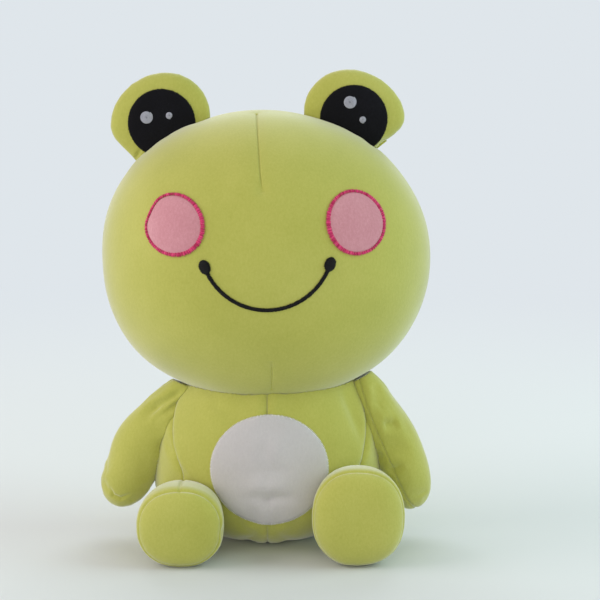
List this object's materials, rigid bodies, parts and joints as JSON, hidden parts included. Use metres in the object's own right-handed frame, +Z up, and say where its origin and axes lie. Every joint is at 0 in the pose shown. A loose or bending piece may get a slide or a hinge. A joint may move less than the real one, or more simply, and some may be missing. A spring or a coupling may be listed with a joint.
{
  "type": "plush frog",
  "caption": "Sitting stuffed toy frog with a large round head, disc-shaped eye lobes, paddle arms and short forward legs with blunt soles.",
  "frame": {"origin": "centre of the flat that the torso sits on", "axes": "+Z up along the sitting frog's height, -Y the way its face looks, +X towards its own left side"},
  "size_m": [0.2501, 0.187, 0.3519],
  "materials": {
    "lime_fabric": "short soft pile, matt",
    "white_fabric": "short soft pile, matt",
    "pink_fabric": "short soft pile, matt",
    "black_fabric": "short soft pile, matt",
    "magenta_thread": "satin stitch, slight sheen",
    "black_thread": "satin stitch, slight sheen",
    "pale_thread": "satin stitch, slight sheen",
    "stuffing_fibre": "loose white polyester fibre"
  },
  "bodies": {
    "torso": {"torso_front_left_panel": "lime_fabric", "torso_front_right_panel": "lime_fabric", "torso_back_panel": "lime_fabric", "torso_stuffing": "stuffing_fibre", "belly_patch": "white_fabric"},
    "head": {"face_panel": "lime_fabric", "head_back_panel": "lime_fabric", "head_stuffing": "stuffing_fibre", "left_cheek_patch": "pink_fabric", "right_cheek_patch": "pink_fabric", "left_cheek_border": "magenta_thread", "right_cheek_border": "magenta_thread", "mouth_stitching": "black_thread", "left_mouth_end": "black_thread", "right_mouth_end": "black_thread"},
    "left_eye": {"left_eye_front_panel": "lime_fabric", "left_eye_back_panel": "lime_fabric", "left_eye_stuffing": "stuffing_fibre", "left_pupil": "black_fabric", "left_big_glint": "pale_thread", "left_small_glint": "pale_thread"},
    "right_eye": {"right_eye_front_panel": "lime_fabric", "right_eye_back_panel": "lime_fabric", "right_eye_stuffing": "stuffing_fibre", "right_pupil": "black_fabric", "right_big_glint": "pale_thread", "right_small_glint": "pale_thread"},
    "left_arm": {"left_arm_front_panel": "lime_fabric", "left_arm_back_panel": "lime_fabric", "left_arm_stuffing": "stuffing_fibre"},
    "right_arm": {"right_arm_front_panel": "lime_fabric", "right_arm_back_panel": "lime_fabric", "right_arm_stuffing": "stuffing_fibre"},
    "left_leg": {"left_leg_cover": "lime_fabric", "left_sole_panel": "lime_fabric", "left_leg_stuffing": "stuffing_fibre"},
    "right_leg": {"right_leg_cover": "lime_fabric", "right_sole_panel": "lime_fabric", "right_leg_stuffing": "stuffing_fibre"}
  },
  "joints": [
    {"name": "neck_nod", "type": "hinge", "parent": "torso", "child": "head", "pos_m": [0, 0, 0.155], "axis": [1, 0, 0], "range_deg": [-8, 8], "stiffness_Nm_per_rad": 1.5},
    {"name": "left_eye_flex", "type": "hinge", "parent": "head", "child": "left_eye", "pos_m": [0.05925, 0.014, 0.30465], "axis": [0.8926, 0, -0.4509], "range_deg": [-12, 12], "stiffness_Nm_per_rad": 0.05},
    {"name": "right_eye_flex", "type": "hinge", "parent": "head", "child": "right_eye", "pos_m": [-0.07453, 0.014, 0.30185], "axis": [0.8729, 0, 0.4879], "range_deg": [-12, 12], "stiffness_Nm_per_rad": 0.05},
    {"name": "left_shoulder", "type": "hinge", "parent": "torso", "child": "left_arm", "pos_m": [0.073, -0.004, 0.12], "axis": [0, -1, 0], "range_deg": [0, 45]},
    {"name": "right_shoulder", "type": "hinge", "parent": "torso", "child": "right_arm", "pos_m": [-0.06908, -0.004, 0.118], "axis": [0, 1, 0], "range_deg": [0, 45]},
    {"name": "left_hip", "type": "hinge", "parent": "torso", "child": "left_leg", "pos_m": [0.066, -0.0371, 0.068], "axis": [-1, 0, 0], "range_deg": [0, 40]},
    {"name": "right_hip", "type": "hinge", "parent": "torso", "child": "right_leg", "pos_m": [-0.0617, -0.04176, 0.056], "axis": [-1, 0, 0], "range_deg": [0, 40]}
  ]
}
